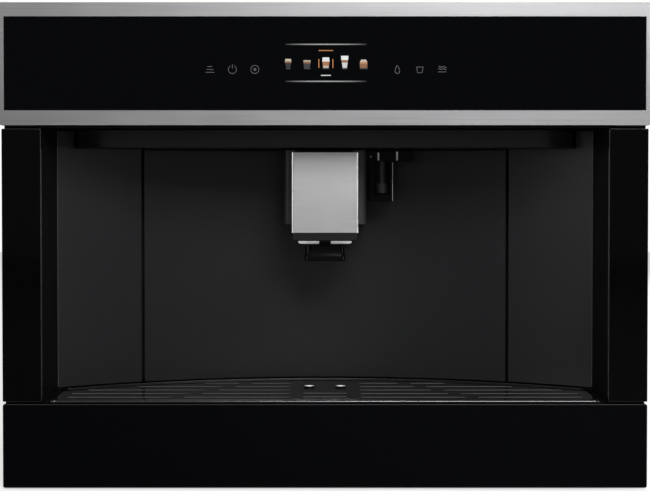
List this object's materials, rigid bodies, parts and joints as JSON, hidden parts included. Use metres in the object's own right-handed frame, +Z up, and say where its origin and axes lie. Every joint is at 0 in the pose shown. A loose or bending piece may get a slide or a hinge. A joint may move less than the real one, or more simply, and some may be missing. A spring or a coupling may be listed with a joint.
{
  "type": "built-in coffee machine",
  "caption": "Built-in bean-to-cup coffee machine: curved cup niche, height-adjustable spout, drip drawer, service door, lift-out tank and pull-out rails.",
  "frame": {"origin": "below the middle of the machine, on the plane that its feet stand on", "axes": "+X to the right as the user faces it, -Y out of the front towards the user, +Z up"},
  "size_m": [0.594, 0.4, 0.4454],
  "materials": {
    "brushed_steel": "brushed",
    "black_glass": "polished",
    "niche_black": "gloss",
    "moulded_black": "fine grain",
    "grid_metal": "satin",
    "chrome": "polished",
    "zinc_sheet": "galvanised",
    "rail_steel": "zinc plated",
    "rubber_black": "matte",
    "clear_plastic": "clear",
    "smoke_plastic": "clear",
    "lamp_lens": "frosted",
    "burr_steel": "ground",
    "motor_grey": "satin",
    "cast_metal": "cast",
    "hose_silicone": "matte",
    "board_green": "matte"
  },
  "bodies": {
    "cabinet_rails": {"cabinet_rail_left": "rail_steel", "cabinet_rail_right": "rail_steel"},
    "outer_cages": {"outer_ball_cages": "burr_steel"},
    "middle_rails": {"middle_rail_left": "rail_steel", "middle_rail_right": "rail_steel"},
    "inner_cages": {"inner_ball_cages": "burr_steel"},
    "service_door": {"door_panel": "niche_black", "spout_guide": "niche_black", "nozzle_holder": "moulded_black", "steam_nozzle": "chrome"},
    "coffee_spout": {"spout_cover": "brushed_steel", "spout_body": "moulded_black", "spout_outlets": "chrome"},
    "drip_drawer": {"drawer_fascia": "black_glass", "drip_basin": "moulded_black", "drip_grid": "grid_metal", "grounds_container": "moulded_black"},
    "water_tank": {"water_tank": "clear_plastic"},
    "tank_lid": {"tank_lid": "smoke_plastic"},
    "bean_lid": {"bean_lid": "smoke_plastic"},
    "grind_knob": {"grind_knob": "moulded_black"},
    "grinder_cone": {"grinder_cone": "burr_steel"},
    "brew_chamber": {"brew_chamber": "moulded_black"},
    "brew_lead_screw": {"brew_lead_screw": "burr_steel"},
    "main_switch": {"main_switch": "moulded_black"},
    "machine": {"machine_rail_left": "rail_steel", "machine_rail_right": "rail_steel", "base_pan": "zinc_sheet", "base_feet": "rubber_black", "side_panel_left": "zinc_sheet", "side_panel_right": "zinc_sheet", "rear_panel": "zinc_sheet", "top_panel": "zinc_sheet", "front_frame": "moulded_black", "lower_deck": "zinc_sheet", "upper_deck": "zinc_sheet", "control_frame": "brushed_steel", "control_glass": "black_glass", "column_glass_left": "black_glass", "column_glass_right": "black_glass", "niche_liner_left": "niche_black", "niche_liner_right": "niche_black", "ceiling_block": "niche_black", "niche_lamps": "lamp_lens", "door_frame": "moulded_black", "hinge_brackets": "rail_steel", "tank_stand": "moulded_black", "bean_hopper": "smoke_plastic", "grinder_housing": "moulded_black", "grinder_motor": "motor_grey", "brew_frame": "moulded_black", "brew_motor": "motor_grey", "boiler": "cast_metal", "water_pump": "motor_grey", "water_hoses": "hose_silicone", "power_inlet": "moulded_black", "control_board": "board_green", "display_module": "moulded_black", "case_screws": "rail_steel"}
  },
  "joints": [
    {"name": "machine_slide", "type": "slide", "parent": "cabinet_rails", "child": "machine", "axis": [0, -1, 0], "range_m": [0, 0.26]},
    {"name": "middle_rail_slide", "type": "slide", "parent": "cabinet_rails", "child": "middle_rails", "axis": [0, -1, 0], "range_m": [0, 0.13]},
    {"name": "outer_cage_slide", "type": "slide", "parent": "cabinet_rails", "child": "outer_cages", "axis": [0, -1, 0], "range_m": [0, 0.065]},
    {"name": "inner_cage_slide", "type": "slide", "parent": "cabinet_rails", "child": "inner_cages", "axis": [0, -1, 0], "range_m": [0, 0.195]},
    {"name": "service_door_hinge", "type": "hinge", "parent": "machine", "child": "service_door", "pos_m": [-0.1752, -0.07739, 0.1976], "axis": [0, 0, -1], "range_deg": [0, 90]},
    {"name": "spout_height_slide", "type": "slide", "parent": "service_door", "child": "coffee_spout", "axis": [0, 0, -1], "range_m": [0, 0.05]},
    {"name": "drip_drawer_slide", "type": "slide", "parent": "machine", "child": "drip_drawer", "axis": [0, -1, 0], "range_m": [0, 0.29]},
    {"name": "water_tank_lift", "type": "slide", "parent": "machine", "child": "water_tank", "axis": [0, 0, 1], "range_m": [0, 0.21]},
    {"name": "tank_lid_hinge", "type": "hinge", "parent": "water_tank", "child": "tank_lid", "pos_m": [-0.19, 0.1415, 0.441], "axis": [-1, 0, 0], "range_deg": [0, 100]},
    {"name": "bean_lid_hinge", "type": "hinge", "parent": "machine", "child": "bean_lid", "pos_m": [0.11, 0.13, 0.4425], "axis": [-1, 0, 0], "range_deg": [0, 100]},
    {"name": "grind_knob_turn", "type": "hinge", "parent": "machine", "child": "grind_knob", "pos_m": [0.236, 0.04, 0.44], "axis": [0, 0, 1], "range_deg": [-135, 135]},
    {"name": "grinder_spin", "type": "hinge", "parent": "machine", "child": "grinder_cone", "pos_m": [0.08, 0.04, 0.36], "axis": [0, 0, 1], "continuous": true},
    {"name": "brew_chamber_lift", "type": "slide", "parent": "machine", "child": "brew_chamber", "axis": [0, 0, 1], "range_m": [0, 0.036]},
    {"name": "lead_screw_turn", "type": "hinge", "parent": "machine", "child": "brew_lead_screw", "pos_m": [0, 0.078, 0.2], "axis": [0, 0, 1], "range_deg": [0, 1080]},
    {"name": "main_switch_rock", "type": "hinge", "parent": "machine", "child": "main_switch", "pos_m": [-0.205, 0.1932, 0.0675], "axis": [-1, 0, 0], "range_deg": [0, 20]}
  ],
  "couplings": [
    {"joint": "middle_rail_slide", "follows": "machine_slide", "ratio": 0.5},
    {"joint": "outer_cage_slide", "follows": "machine_slide", "ratio": 0.25},
    {"joint": "inner_cage_slide", "follows": "machine_slide", "ratio": 0.75},
    {"joint": "lead_screw_turn", "follows": "brew_chamber_lift", "rad_per_m": 523.6}
  ]
}
